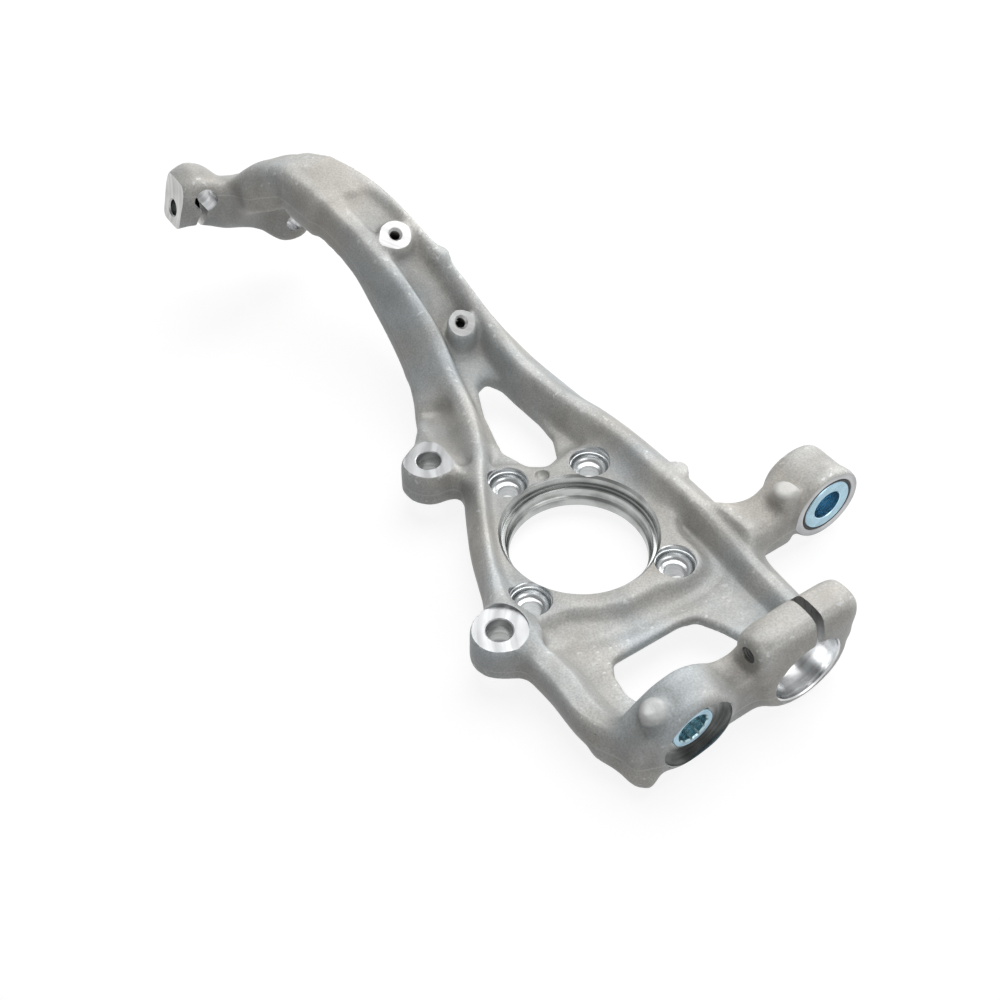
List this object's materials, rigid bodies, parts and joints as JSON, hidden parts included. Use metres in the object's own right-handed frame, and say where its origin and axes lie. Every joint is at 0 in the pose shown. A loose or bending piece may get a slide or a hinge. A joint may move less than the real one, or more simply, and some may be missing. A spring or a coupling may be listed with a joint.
{
  "type": "steering knuckle",
  "caption": "Cast aluminium front steering knuckle with a long curved neck, bearing seat, caliper ears, steering arm eye and clamped joint bores.",
  "frame": {"origin": "centre of the wheel bearing bore, on the face of the bearing pad", "axes": "+Z inboard along the hub axis, +Y up along the neck and parallel to the lower joint bores, +X towards the steering arm"},
  "size_m": [0.2578, 0.508, 0.129],
  "materials": {
    "cast_aluminium": "blasted casting with bright machined seats",
    "zinc_steel": "zinc plated, blue passivated",
    "black_rubber": "matt"
  },
  "bodies": {
    "root": {"knuckle": "cast_aluminium", "lower_insert": "zinc_steel", "steering_bush": "zinc_steel", "bush_seal": "black_rubber"}
  },
  "joints": []
}
